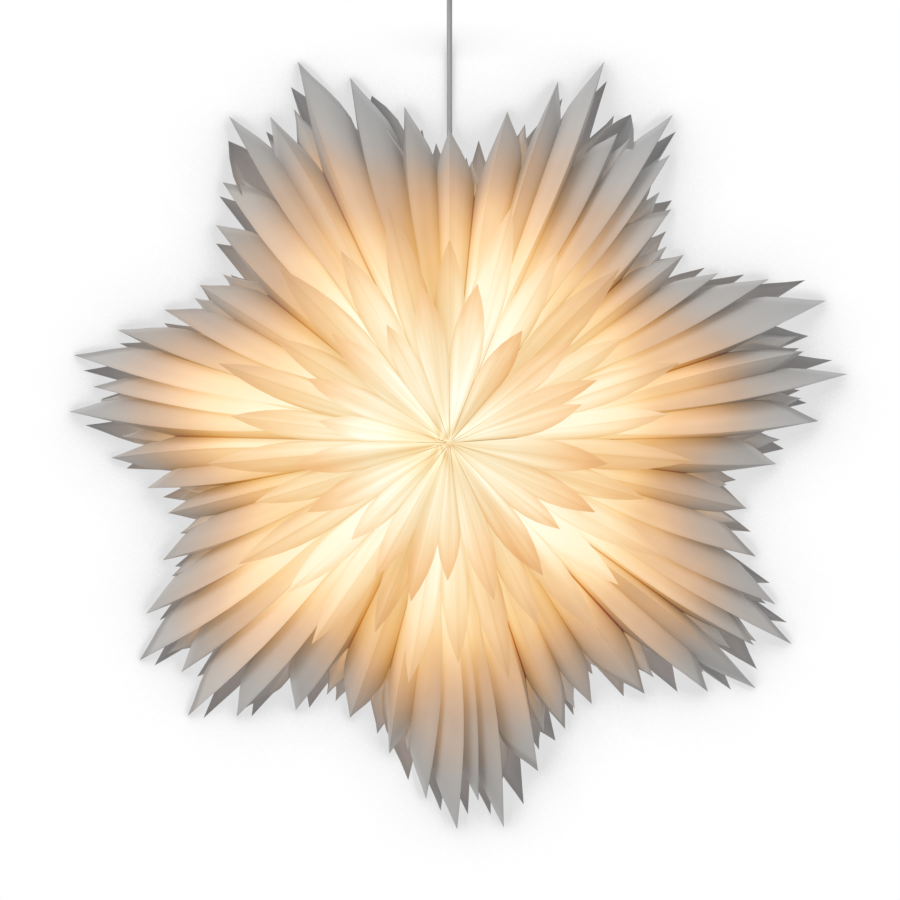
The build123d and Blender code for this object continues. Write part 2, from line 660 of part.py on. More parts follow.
route = wire_route(1)
runs = [hypot(b[0] - a[0], b[2] - a[2]) for a, b in zip(route, route[1:])]
print(f"free cord {GRIP_MOUTH - CORD_END + STAR_DROP:.1f} mm long, {2 * CORD_R} mm across, no bends")
print(f"mains cores bend at {WIRE_BEND_R} and {WIRE_EXIT_BEND_R} mm, runs {sum(runs):.0f} mm together")
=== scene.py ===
# %% [markdown]
# # A folded-paper star lamp
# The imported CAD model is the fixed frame: it says where each piece is and how it moves. This script dresses
# it. The paper is modelled leaf by leaf, the cord is a curve, and the other pieces get the finish that the
# real ones have. Blender's units are metres, +Z is up and the star's front faces -Y.

# %% Load the frame
import math
import random

import bpy
import numpy as np
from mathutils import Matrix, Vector


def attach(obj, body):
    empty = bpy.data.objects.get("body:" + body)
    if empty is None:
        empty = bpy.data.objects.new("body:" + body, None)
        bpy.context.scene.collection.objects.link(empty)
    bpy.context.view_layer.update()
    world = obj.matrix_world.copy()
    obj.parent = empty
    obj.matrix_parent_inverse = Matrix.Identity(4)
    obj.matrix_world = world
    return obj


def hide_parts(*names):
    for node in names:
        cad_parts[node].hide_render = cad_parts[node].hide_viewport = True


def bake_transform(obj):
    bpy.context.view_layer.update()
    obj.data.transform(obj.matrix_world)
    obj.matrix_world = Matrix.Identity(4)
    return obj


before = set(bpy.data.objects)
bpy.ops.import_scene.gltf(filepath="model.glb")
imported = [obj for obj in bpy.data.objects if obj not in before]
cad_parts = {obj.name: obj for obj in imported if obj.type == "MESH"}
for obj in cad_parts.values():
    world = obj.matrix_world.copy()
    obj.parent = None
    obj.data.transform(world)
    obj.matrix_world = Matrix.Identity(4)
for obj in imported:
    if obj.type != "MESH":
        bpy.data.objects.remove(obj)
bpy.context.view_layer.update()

# %% [markdown]
# ## Camera
# The photograph looks straight at the star's face from some metres away, so its leaves show no perspective
# to speak of. A long lens at 4 m does the same. The lens is chosen so that 900 mm fill the picture's width,
# which makes one millimetre at the star one pixel.

# %% Camera
STAR_Z = -0.525
VIEW_DISTANCE = 4.0
VIEW_WIDTH = 0.900
PICTURE_CENTRE = (0.0005, -0.532)
SENSOR = 36.0

bpy.ops.object.camera_add(location=(PICTURE_CENTRE[0], -VIEW_DISTANCE, PICTURE_CENTRE[1]),
                          rotation=(math.radians(90), 0, 0))
camera = bpy.context.object
camera.data.sensor_width = SENSOR
camera.data.lens = SENSOR * VIEW_DISTANCE / VIEW_WIDTH
bpy.context.scene.camera = camera
print("lens", round(camera.data.lens, 1), "mm")

# %% [markdown]
# ## Helpers
# A finish is a small tree of nodes. Two helpers keep the trees readable: one turns an sRGB hex colour into the
# linear numbers that Blender works in, and one adds a node with its settings and its links. The last two clear
# the selection and join pieces.

# %% Helpers
def linear(code):
    """An sRGB hex colour as linear red, green, blue and alpha."""
    parts = [int(code[place:place + 2], 16) / 255 for place in (1, 3, 5)]
    return (*[c / 12.92 if c <= 0.04045 else ((c + 0.055) / 1.055) ** 2.4 for c in parts], 1.0)


def node(material, kind, inputs=None, stops=None, **settings):
    """Adds a shader node. An input takes a number, a colour, an output, or a node for its first output."""
    made = material.node_tree.nodes.new("ShaderNode" + kind)
    for name, value in settings.items():
        setattr(made, name, value)
    for socket, value in (inputs or {}).items():
        if isinstance(value, bpy.types.Node):
            value = value.outputs[0]
        if isinstance(value, bpy.types.NodeSocket):
            material.node_tree.links.new(value, made.inputs[socket])
        else:
            made.inputs[socket].default_value = value
    if stops:
        ramp = made.color_ramp
        while len(ramp.elements) < len(stops):
            ramp.elements.new(1.0)
        for element, (place, code) in zip(ramp.elements, stops):
            element.position = place
            element.color = linear(code)
    return made


def new_material(name):
    """A material whose tree holds nothing but its output."""
    material = bpy.data.materials.new(name)
    material.use_nodes = True
    material.node_tree.nodes.clear()
    return material


def deselect():
    if bpy.context.object and bpy.context.object.mode != "OBJECT":
        bpy.ops.object.mode_set(mode="OBJECT")
    bpy.ops.object.select_all(action="DESELECT")


def joined(pieces, name):
    """Joins the pieces to one mesh of that name."""
    deselect()
    for piece in pieces:
        piece.select_set(True)
    bpy.context.view_layer.objects.active = pieces[0]
    bpy.ops.object.join()
    whole = bpy.context.object
    whole.name = whole.data.name = name
    return whole


deselect()
print("materials in the frame", len(bpy.data.materials))

# %% [markdown]
# ## Backdrop, floor and light
# The photograph's background is white with a soft grey halo close round the star. A white world that only
# the camera and mirror-like surfaces see gives the white. The halo comes from a clear sheet in the star's
# middle plane, between its two faces: it darkens where something is near it, which is what ambient occlusion
# measures, and elsewhere it can't be seen. It looks the same from the front and the back, and edge on it
# vanishes. The floor lies far below, as under any lamp that hangs. The paper gets a plain level of soft
# light, from the world and from a large lamp up on the left, because its tips are grey on both sides.

# %% World, halo and floor
PAPER_LIGHT = 0.72

world = bpy.data.worlds.new("white_studio")
bpy.context.scene.world = world
world.use_nodes = True
world.node_tree.nodes.clear()
rays = node(world, "LightPath")
seen = node(world, "Math", {0: rays.outputs["Is Camera Ray"], 1: rays.outputs["Is Glossy Ray"]},
            operation="MAXIMUM")
seen = node(world, "Math", {0: seen, 1: rays.outputs["Is Transmission Ray"]}, operation="MAXIMUM")
level = node(world, "MapRange", {"Value": seen, "To Min": PAPER_LIGHT, "To Max": 1.0})
sky = node(world, "Background", {"Color": linear("#FFFFFF"), "Strength": level})
node(world, "OutputWorld", {"Surface": sky})

HALO_REACH = 0.085
HALO_SHADE = 0.34
HALO_OPEN = (0.885, 0.985)  # the share of open view where the halo is darkest, and where it ends
HALO_TOP, HALO_LOW, HALO_WIDTH = -0.096, -1.000, 1.1
HALO_FADE = (0.004, 0.045)  # below the sheet's top edge the halo comes in over this span

halo = new_material("clear_sheet_with_shadow")
near = node(halo, "AmbientOcclusion", {"Distance": HALO_REACH}, samples=16)
dark = node(halo, "MapRange", {"Value": near.outputs["AO"], "From Min": HALO_OPEN[0], "From Max": HALO_OPEN[1],
                               "To Min": HALO_SHADE, "To Max": 0.0})
rays = node(halo, "LightPath")
dark = node(halo, "Math", {0: dark, 1: rays.outputs["Is Camera Ray"]}, operation="MULTIPLY")
coords = node(halo, "TexCoord")
height = node(halo, "SeparateXYZ", {0: coords.outputs["Object"]})
fade = node(halo, "MapRange", {"Value": height.outputs[2], "From Min": HALO_TOP - HALO_FADE[0],
                               "From Max": HALO_TOP - HALO_FADE[1]}, interpolation_type="SMOOTHSTEP")
dark = node(halo, "Math", {0: dark, 1: fade}, operation="MULTIPLY")
clear = node(halo, "BsdfTransparent")
shade = node(halo, "Emission", {"Color": linear("#7A7A7C")})
sheet = node(halo, "MixShader", {0: dark, 1: clear, 2: shade})
node(halo, "OutputMaterial", {"Surface": sheet})

bpy.ops.mesh.primitive_plane_add(size=1.0, location=(0, 0.0005, (HALO_TOP + HALO_LOW) / 2),
                                 rotation=(math.radians(90), 0, 0))
backdrop = bpy.context.object
backdrop.name = "halo_sheet"
backdrop.scale = (HALO_WIDTH, HALO_TOP - HALO_LOW, 1)
bpy.ops.object.transform_apply(location=True, rotation=True, scale=True)
backdrop.data.materials.append(halo)

white_floor = new_material("white_floor")
# seen by the camera the floor is white, darkened by ambient occlusion: a painted shadow
near = node(white_floor, "AmbientOcclusion", {"Distance": 0.9}, samples=16)
floor_with_painted_shadow = node(white_floor, "Emission", {"Strength": near.outputs["AO"]})
floor_light = node(white_floor, "Emission", {"Strength": PAPER_LIGHT})
rays = node(white_floor, "LightPath")
seen = node(white_floor, "Math", {0: rays.outputs["Is Camera Ray"], 1: rays.outputs["Is Glossy Ray"]},
            operation="MAXIMUM")
floor_mix = node(white_floor, "MixShader", {0: seen, 1: floor_light, 2: floor_with_painted_shadow})
node(white_floor, "OutputMaterial", {"Surface": floor_mix})

FLOOR_Z = -4.0
bpy.ops.mesh.primitive_plane_add(size=14.0, location=(0, 0, FLOOR_Z))
floor = bpy.context.object
floor.name = "floor"
floor.data.materials.append(white_floor)

# %% Lamps
bpy.ops.object.light_add(type="AREA", location=(-2.2, -3.2, 1.3))
key = bpy.context.object
key.data.size = 2.0
key.data.energy = 66.0
key.rotation_euler = (Vector((0, 0, STAR_Z)) - key.location).to_track_quat("-Z", "Y").to_euler()
bpy.context.scene.view_settings.view_transform = "Standard"
print("world level", PAPER_LIGHT, "lamp", key.data.energy, "W")

# %% [markdown]
# ## Cord
# The cord is a round flex in grey PVC that hangs straight, because the star's weight keeps it taut. It
# leaves the canopy's cord grip and goes back into the lamp holder's cap. A curve with a round section is
# the usual way to make a cord, and its two end points are enough on a straight run.

# %% Cord
CORD_TOP = -0.072
CORD_FOOT = -0.44485
CORD_DIAMETER = 0.0055


def spline_tube(name, points, diameter):
    """A round tube along one smooth NURBS curve through the space of the given points."""
    curve = bpy.data.curves.new(name, "CURVE")
    curve.dimensions = "3D"
    curve.bevel_depth = diameter / 2
    curve.bevel_resolution = 6
    curve.use_fill_caps = True
    line = curve.splines.new("NURBS")
    line.points.add(len(points) - 1)
    for point, place in zip(line.points, points):
        point.co = (*place, 1.0)
    line.order_u = 3
    line.use_endpoint_u = True
    line.resolution_u = 12
    tube = bpy.data.objects.new(name, curve)
    bpy.context.collection.objects.link(tube)
    return tube


cord_points = [(0, 0, CORD_TOP), (0, 0, -0.170), (0, 0, -0.300), (0, 0, CORD_FOOT)]
cord = spline_tube("hanging_cord", cord_points, CORD_DIAMETER)
print("cord", round(CORD_TOP - CORD_FOOT, 4), "m")

# %% [markdown]
# ## Where the leaves are
# The star is opened by hand, so no two leaves are the same. Each row below is one of its seven lobes,
# clockwise from the top, and each pair is one leaf's tip: its angle in degrees, counter-clockwise from +X,
# and its distance from the star's centre in millimetres. The first pair of a row is the leaf on the lobe's
# edge. The rear tier has its own rows, because its leaves show between the front ones.

# %% Tips of the outer tier
FRONT_TIPS = [
    [(90.0, 313), (80.1, 336), (73.3, 377), (67.9, 411),
     (61.5, 352), (55.8, 396), (52.6, 362), (46.5, 322)],
    [(38.8, 300), (32.3, 318), (27.2, 358), (20.7, 402),
     (14.5, 365), (9.8, 403), (3.4, 369), (-3.7, 327)],
    [(-12.4, 304), (-20.3, 326), (-26.3, 363), (-30.4, 396),
     (-33.6, 365), (-38.7, 392), (-43.9, 358), (-52.1, 317)],
    [(-61.4, 297), (-68.0, 308), (-74.9, 339), (-82.0, 387),
     (-85.4, 358), (-88.9, 385), (-93.8, 356), (-101.0, 316)],
    [(-109.9, 292), (-119.9, 308), (-127.9, 346), (-133.8, 378),
     (-139.5, 352), (-145.0, 378), (-150.6, 348), (-157.8, 309)],
    [(-166.0, 290), (-171.5, 305), (-177.5, 338), (-184.7, 381),
     (-189.0, 360), (-193.2, 385), (-198.8, 350), (-205.1, 314)],
    [(-212.3, 295), (-223.0, 319), (-229.0, 345), (-236.0, 393),
     (-241.2, 372), (-248.3, 410), (-254.8, 378), (-262.4, 338)],
]
REAR_TIPS = [
    [(90.0, 313), (84.5, 305), (78.2, 320), (71.9, 363),
     (66.5, 396), (61.1, 376), (54.0, 386), (47.5, 330)],
    [(38.8, 300), (34.5, 310), (29.8, 340), (24.6, 392),
     (16.6, 375), (12.2, 392), (6.4, 360), (-1.0, 335)],
    [(-12.4, 304), (-16.4, 315), (-23.6, 350), (-28.0, 383),
     (-36.3, 382), (-41.2, 375), (-47.5, 338), (-55.5, 308)],
    [(-61.4, 297), (-65.5, 300), (-70.4, 317), (-78.4, 370),
     (-83.7, 374), (-87.2, 372), (-91.4, 368), (-97.0, 340)],
    [(-109.9, 292), (-117.9, 300), (-125.9, 338), (-131.8, 370),
     (-137.2, 345), (-143.0, 370), (-148.6, 340), (-155.8, 302)],
    [(-166.0, 290), (-169.3, 292), (-175.5, 325), (-182.8, 365),
     (-187.2, 352), (-191.2, 374), (-196.8, 345), (-202.8, 310)],
    [(-212.3, 295), (-220.5, 308), (-227.0, 338), (-233.8, 375),
     (-239.5, 362), (-246.0, 390), (-257.4, 357), (-265.0, 316)],
]
print("outer leaves", sum(len(row) for row in FRONT_TIPS + REAR_TIPS))

# %% [markdown]
# Two smaller tiers lie on each face. The middle one has four petals to a lobe, and the short ones stand on
# the lobes' edges. The inner one has 21 petals, some of them narrow because their neighbours crowd them.

# %% Tips of the two smaller tiers
MIDDLE_EDGES = [90.0, 31.0, -16.0, -64.0, -111.5, -163.0, -211.0]
MIDDLE_REACH = [200, 240, 217, 240]
INNER_TIPS = [(137.2, 157), (118.0, 131), (100.4, 158), (80.0, 158), (57.0, 131), (39.6, 156), (23.0, 157),
              (16.2, 135), (-7.6, 156), (-25.5, 158), (-38.0, 137), (-54.8, 159), (-74.2, 160), (-90.8, 135),
              (-103.7, 160), (-119.0, 150), (-135.3, 135), (-154.0, 155), (-171.7, 156), (-189.4, 130),
              (-204.3, 153)]
MIDDLE_TIPS = []
for first, after in zip(MIDDLE_EDGES, MIDDLE_EDGES[1:] + [MIDDLE_EDGES[0] - 360]):
    MIDDLE_TIPS += [(first + (after - first) * place / 4, reach) for place, reach in enumerate(MIDDLE_REACH)]
print("petals on a face", len(MIDDLE_TIPS) + len(INNER_TIPS))

# %% [markdown]
# ## The paper blank
# A leaf is cut from thin paper and folded along its middle, and each of its halves is glued to the next
# leaf along a valley. So half a leaf is the sheet that repeats. It is modelled once, as a grid that lies
# flat with its own UV map: U runs from the ridge to the valley, and V from the star's centre to the cut
# edge. Each copy is then folded to its place. No operator folds a sheet to given points, so the fold is
# worked out for all the vertices at once.

# %% The paper blank
deselect()
bpy.ops.mesh.primitive_grid_add(x_subdivisions=6, y_subdivisions=18, size=1.0)
blank = bpy.context.object
blank.name = "half_leaf_blank"
blank.data.attributes.new("tone", "FLOAT", "FACE")
flat = np.array([vertex.co for vertex in blank.data.vertices]) + 0.5
ACROSS = flat[:, 0]
ALONG = flat[:, 1]
print("half a leaf has", len(blank.data.polygons), "faces")


# %% [markdown]
# ## Folding one half
# The cut edge runs from the ridge's tip to the valley's end. On the long leaves it is nearly straight at
# the tip, which makes the needle point, and rounds out towards the valley. On the petals it is round all
# the way. Paper that is gripped along two folds also bows out a little between them, and a long tip leans
# a little to one side, so each half gets both.

# %% Folding one half
MM = 0.001
BEND_START = 0.4  # the bend to one side begins at this share of the leaf's length


def spot(angle, reach, depth, side):
    """A point of the star in metres. side is -1 on the front and +1 on the rear."""
    turn = math.radians(angle)
    return np.array([reach * math.cos(turn), side * depth, reach * math.sin(turn)]) * MM + (0, 0, STAR_Z)


def fold_half(name, centre, ridge, valley, side, tone, bulge, crown, needle=True, lean=0.0):
    """Half a leaf between its ridge and a valley, each (angle, reach, depth).

    bulge is how far the cut edge rounds out, as a share of its length. crown, the bow between the folds, and
    lean, the tip's bend to one side, are in mm.
    """
    tip, foot = spot(*ridge, side), spot(*valley, side)
    chord = foot - tip
    length = np.linalg.norm(chord)
    outwards = (tip + foot) / 2 - centre
    outwards -= chord * outwards.dot(chord) / length ** 2
    outwards /= np.linalg.norm(outwards)
    face = np.cross(tip - centre, foot - centre)
    face /= np.linalg.norm(face)
    face *= 1 if face[1] * side > 0 else -1

    # both curves rise to 1, a needle's near its valley and a petal's in the middle
    round_out = 6.75 * ACROSS ** 2 * (1 - ACROSS) if needle else 4 * ACROSS * (1 - ACROSS)
    edge = tip + np.outer(ACROSS, chord) + np.outer(round_out * bulge * length, outwards)
    points = centre + (edge - centre) * ALONG[:, None]
    points += np.outer(np.sin(np.pi * ACROSS) * ALONG ** 1.5 * crown * MM, face)
    aside = np.array([-math.sin(math.radians(ridge[0])), 0, math.cos(math.radians(ridge[0]))])
    bend = np.sin(np.pi * np.clip((ALONG - BEND_START) / (1 - BEND_START), 0, 1)) * (1 - ACROSS) ** 2
    points += np.outer(bend * lean * MM, aside)

    mesh = blank.data.copy()
    mesh.vertices.foreach_set("co", points.ravel())
    mesh.attributes["tone"].data.foreach_set("value", [tone] * len(mesh.polygons))
    mesh.update()
    middle = mesh.polygons[len(mesh.polygons) // 2]
    if middle.normal.y * side < 0:
        mesh.flip_normals()
    half = bpy.data.objects.new(name, mesh)
    bpy.context.collection.objects.link(half)
    return half


# %% [markdown]
# ## From halves to a pleated skin
# The halves of one lobe, or of one small tier, are joined and their shared ridges and valleys merged, so
# that the skin is one pleated sheet. Solidify then gives it the thickness of paper, inwards, with the inside
# as its second material. Last, faces are shaded smooth except across the folds.

# %% A pleated skin
PAPER = 0.35


def pleated_skin(name, halves, materials):
    """One sheet of paper from its folded halves."""
    skin = joined(halves, name)
    bpy.ops.object.mode_set(mode="EDIT")
    bpy.ops.mesh.select_all(action="SELECT")
    bpy.ops.mesh.remove_doubles(threshold=0.00002)
    bpy.ops.object.mode_set(mode="OBJECT")
    for material in materials:
        skin.data.materials.append(material)
    sheet = skin.modifiers.new("paper", "SOLIDIFY")
    sheet.thickness = PAPER * MM
    sheet.offset = -1.0
    sheet.material_offset = 1
    sheet.material_offset_rim = 0
    bpy.ops.object.modifier_apply(modifier=sheet.name)
    bpy.ops.object.shade_smooth_by_angle(angle=math.radians(28))
    return skin


# %% [markdown]
# ## Paper that is lit from inside
# The leaves are uncoated white paper of about 80 g/m². Near the bulb the light comes through as warm white,
# further out it has passed through more layers and turns peach, and the tips only show the room's light, a
# neutral grey. Real translucency would need very many light paths, so the colour that comes through is
# given by the distance from the bulb instead. What the room's light adds is taken off it first, so the hex
# values below are what the eye sees. In each lobe the glow reaches further and is brighter, which makes seven
# rays, and beams of uneven width lie over them.
#
# Small things make it paper: double layers along the glued valleys, a little darker, long soft streaks where
# fibres lie, and no two leaves quite the same. Painted shade and light lie over these: painted shade in the
# crease on the ridge and towards each valley, halves that face up and to the left painted lighter and those
# that face down darker, points that get less of the glow and a painted shade, and a painted highlight along
# the cut edge of one kind of leaf and a painted shadow along that of the other. These use the leaf's UV map,
# and the glow uses Object coordinates.

# %% Paper material
PAPER_GREY = "#A9A8A7"
GLOW_CENTRE = (-0.010, STAR_Z)
GLOW_EDGE = 0.420
LOBES = 7
RAY_TURN = -0.4     # turns the rays a little counter-clockwise from even sevenths of a turn
RAY_REACH = 0.06    # how much further the glow reaches in a ray
WARM = (0.17, 0.31)  # shade is warm as far as the first distance, and neutral from the second
RED, GREEN, BLUE = 0.5, 1.22, 2.3  # in warm shade each colour falls by its own power
BRIGHTEST = 1.12
TWO_KINDS = (0.35, 0.65)  # leaves whose tone is below and above these are of two kinds
HALF_WIDTH = 24.0


def lit_paper(name, stops, streaks, grey=PAPER_GREY, glue="#CF9A5E", seam=2.0, beams=0.17, painted_facing_shade=0.10,
              painted_edge_levels=(1.0, 1.0), dull=0.0, painted_tip_shade=0.92):
    """Folded paper round a bulb. stops are (distance in mm, colour seen there), seam and dull are in mm."""
    paper = new_material(name)
    coords = node(paper, "TexCoord")
    u, v = node(paper, "SeparateXYZ", {0: coords.outputs["UV"]}).outputs[:2]
    tone = node(paper, "Attribute", attribute_name="tone").outputs["Fac"]

    # the distance from the bulb, less in a ray, with soft clouds, the leaf's own step and a dull tip
    flat = node(paper, "Mapping", {"Vector": coords.outputs["Object"], "Scale": (1, 0, 1),
                                   "Location": (-GLOW_CENTRE[0], 0, -GLOW_CENTRE[1])})
    far = node(paper, "VectorMath", {0: flat}, operation="LENGTH").outputs["Value"]
    around = node(paper, "SeparateXYZ", {0: flat})
    angle = node(paper, "Math", {0: around.outputs[2], 1: around.outputs[0]}, operation="ARCTAN2")
    angle = node(paper, "Math", {0: angle, 1: LOBES, 2: RAY_TURN}, operation="MULTIPLY_ADD")
    ray = node(paper, "Math", {0: angle}, operation="SINE")
    nearer = node(paper, "Math", {0: ray, 1: -RAY_REACH, 2: 1.0}, operation="MULTIPLY_ADD")
    far = node(paper, "Math", {0: far, 1: nearer}, operation="MULTIPLY")
    cloud = node(paper, "TexNoise", {"Vector": coords.outputs["Object"], "Scale": 9.0, "Detail": 1.0})
    cloud = node(paper, "MapRange", {"Value": cloud.outputs["Fac"], "From Min": 0.3, "From Max": 0.7,
                                     "To Min": -0.020, "To Max": 0.020})
    own = node(paper, "MapRange", {"Value": tone, "To Min": 0.009, "To Max": -0.009})
    outer = node(paper, "MapRange", {"Value": v, "From Min": 0.72, "To Max": dull * MM})
    for more in (cloud, own, outer):
        far = node(paper, "Math", {0: far, 1: more}, operation="ADD")
    part = node(paper, "Math", {0: far, 1: GLOW_EDGE}, operation="DIVIDE")
    seen = node(paper, "ValToRGB", {0: part},
                stops=[(distance * MM / GLOW_EDGE, code) for distance, code in stops])

    # rays and beams, which fade out towards the tips
    outwards = node(paper, "Mapping", {"Vector": coords.outputs["Object"], "Scale": (1, 0, 1),
                                       "Location": (0, 0, -STAR_Z)})
    outwards = node(paper, "VectorMath", {0: outwards}, operation="NORMALIZE")
    beam = node(paper, "TexNoise", {"Vector": outwards, "W": 8.0, "Scale": 4.2}, noise_dimensions="4D")
    beam = node(paper, "MapRange", {"Value": beam.outputs["Fac"], "From Min": 0.38, "From Max": 0.62,
                                    "To Min": -0.6 * beams, "To Max": 0.6 * beams})
    beam = node(paper, "Math", {0: ray, 1: 0.8 * beams, 2: beam}, operation="MULTIPLY_ADD")
    reach = node(paper, "MapRange", {"Value": far, "From Min": 0.13, "From Max": 0.28, "To Min": 1.0,
                                     "To Max": 0.0})
    beam = node(paper, "Math", {0: beam, 1: reach, 2: 1.0}, operation="MULTIPLY_ADD")

    # the glued valley, a strip that narrows to the centre and shows less on one kind of leaf
    inwards = node(paper, "Math", {0: 1.0, 1: u}, operation="SUBTRACT")
    wedge = node(paper, "Math", {0: v, 1: 0.30}, operation="MAXIMUM")
    from_seam = node(paper, "Math", {0: inwards, 1: wedge}, operation="MULTIPLY")
    from_seam = node(paper, "Math", {0: from_seam, 1: HALF_WIDTH}, operation="MULTIPLY")
    glued = node(paper, "MapRange", {"Value": from_seam, "From Min": 0.2, "From Max": seam, "To Min": 0.95,
                                     "To Max": 0.0})
    doubled = node(paper, "MapRange", {"Value": tone, "From Min": TWO_KINDS[0], "From Max": TWO_KINDS[1],
                                       "To Min": 0.45})
    glued = node(paper, "Math", {0: glued, 1: doubled}, operation="MULTIPLY")
    seen = node(paper, "Mix", {0: glued, 6: seen, 7: linear(glue)}, data_type="RGBA",
                blend_type="MULTIPLY").outputs[2]

    # shares of the light that the fibres and the leaf itself let through, and painted shade in the crease on
    # the ridge and towards the valley
    painted_crease_shade = node(paper, "MapRange", {"Value": u, "From Max": 0.07, "To Min": 0.94})
    painted_valley_shade = node(paper, "MapRange", {"Value": u, "From Min": 0.35, "To Min": 1.0, "To Max": 0.84},
                  interpolation_type="SMOOTHSTEP")
    # painted highlight along the cut edge of one kind of leaf, painted shadow along that of the other
    painted_edge_highlight_and_shadow = node(paper, "MapRange", {"Value": tone, "From Min": TWO_KINDS[0], "From Max": TWO_KINDS[1],
                                   "To Min": painted_edge_levels[0], "To Max": painted_edge_levels[1]})
    painted_edge_band = node(paper, "MapRange", {"Value": v, "From Min": 0.968, "From Max": 0.986, "To Min": 1.0,
                                   "To Max": painted_edge_highlight_and_shadow})
    # painted shade towards the point
    point = node(paper, "MapRange", {"Value": v, "From Min": 0.80, "To Min": 1.0, "To Max": painted_tip_shade},
                 interpolation_type="SMOOTHSTEP")
    lengthways = node(paper, "Mapping", {"Vector": coords.outputs["UV"], "Scale": (3.2, 1.3, 1)})
    wander = node(paper, "Math", {0: tone, 1: 97.0}, operation="MULTIPLY")
    fibre = node(paper, "TexNoise", {"Vector": lengthways, "W": wander, "Scale": 1.0, "Detail": 1.0},
                 noise_dimensions="4D")
    streak = node(paper, "MapRange", {"Value": fibre.outputs["Fac"], "From Min": 0.3, "From Max": 0.7,
                                      "To Min": 1 - streaks, "To Max": 1 + streaks})
    # painted light and shade: halves that face up and to the left are lighter, those that face down darker
    facing_painted_light = node(paper, "VectorMath", {0: coords.outputs["Normal"], 1: (-0.35, 0.0, 0.94)},
                   operation="DOT_PRODUCT")
    half = node(paper, "MapRange", {"Value": facing_painted_light.outputs["Value"], "From Min": -0.8, "From Max": 0.8,
                                    "To Min": 1 - painted_facing_shade, "To Max": 1 + 0.6 * painted_facing_shade})
    own = node(paper, "MapRange", {"Value": tone, "To Min": 0.88, "To Max": 1.07})
    share = painted_crease_shade
    for factor in (painted_edge_band, point, painted_valley_shade, streak, half, own, beam):
        share = node(paper, "Math", {0: share, 1: factor}, operation="MULTIPLY")
    pale = node(paper, "Math", {0: share, 1: BRIGHTEST}, operation="MINIMUM")
    tint = []
    for amount, power in ((share, RED), (pale, GREEN), (pale, BLUE)):
        power = node(paper, "MapRange", {"Value": far, "From Min": WARM[0], "From Max": WARM[1],
                                         "To Min": power})
        tint.append(node(paper, "Math", {0: amount, 1: power}, operation="POWER"))
    warm = node(paper, "CombineXYZ", dict(enumerate(tint)))
    seen = node(paper, "VectorMath", {0: seen, 1: warm}, operation="MULTIPLY")

    # the room's light, weak where the glow outshines it, is taken off what is seen
    dim = node(paper, "MapRange", {"Value": far, "From Min": WARM[0], "From Max": 0.33, "To Min": 0.22})
    dim = node(paper, "Math", {0: dim, 1: share}, operation="MULTIPLY")
    room = node(paper, "VectorMath", {0: linear(grey)[:3], "Scale": dim}, operation="SCALE")
    spare = node(paper, "VectorMath", {0: room, "Scale": 0.85}, operation="SCALE")
    through = node(paper, "VectorMath", {0: seen, 1: spare}, operation="SUBTRACT")
    through = node(paper, "VectorMath", {0: through, 1: (0, 0, 0)}, operation="MAXIMUM")
    grain = node(paper, "TexNoise", {"Vector": coords.outputs["Object"], "Scale": 420.0, "Detail": 3.0})
    bump = node(paper, "Bump", {"Height": grain.outputs["Fac"], "Strength": 0.25, "Distance": 0.0004})
    shader = node(paper, "BsdfPrincipled", {"Base Color": room, "Roughness": 0.88, "Specular IOR Level": 0.25,
                                            "Emission Color": through, "Emission Strength": 1.0,
                                            "Normal": bump})
    node(paper, "OutputMaterial", {"Surface": shader})
    return paper


outer_paper = lit_paper("white_paper_outer_tier", [
    (0, "#FFEFC8"), (130, "#FFEFCA"), (165, "#FFE7BC"), (195, "#FFDBAA"), (225, "#F0C79A"),
    (255, "#DAB696"), (285, "#C7AE99"), (315, "#BAAEA4"), (345, "#B4B0AC"), (400, "#B4B4B4")],
    streaks=0.04, painted_facing_shade=0.17, painted_edge_levels=(1.12, 0.76), dull=38.0, painted_tip_shade=0.86)
middle_paper = lit_paper("white_paper_middle_tier", [
    (0, "#FFF1CE"), (60, "#FFF4D6"), (120, "#FFEDC8"), (170, "#FFE2B4"), (205, "#F9D2A2"),
    (240, "#E6BE94"), (300, "#C9A684")], streaks=0.06)
inner_paper = lit_paper("white_paper_inner_tier", [
    (0, "#FFE9B8"), (25, "#FFF2CE"), (60, "#FFF3D4"), (90, "#FFEAC4"), (120, "#FFDEB2"),
    (150, "#FCD5A4"), (200, "#E8BE90")], streaks=0.07, glue="#A8733C", seam=2.2, beams=0.12)
# the inside faces get a darker copy of the paper, as painted shade
paper_inside = lit_paper("white_paper_in_shade", [
    (0, "#FFF3D0"), (180, "#FFE3B0"), (240, "#D8B898"), (285, "#AEA198"), (330, "#96928F"),
    (400, "#8E8E8E")], streaks=0.04, grey="#6E6D6C", painted_edge_levels=(1.08, 0.84))
print("paper finishes ready")

# %% [markdown]
# ## Folding the star
# Each lobe of the outer tier becomes one skin, from one edge leaf's ridge to the next. Most leaves of a lobe
# lean to the same side like fins, so a valley lies a little off the middle between its two ridges. It ends at
# about three quarters of their length, and a loose blade stands behind it. Small seeded differences keep the
# leaves from looking stamped out.

# %% Outer tier
OUTER_CENTRE = 99.0  # depth in mm where the leaves meet at the centre
NOTCH = 0.76         # where a valley ends, as a share of its leaves' reach
FIN_LEAN = 9.0       # mm that the tip of a full fin bends to its side
FIN_SWAY = 0.14      # share of the gap by which two full fins move their valley
ROUND_TIPS = [(61.1, 376), (-233.8, 375), (-257.4, 357)]
chance = random.Random(7)


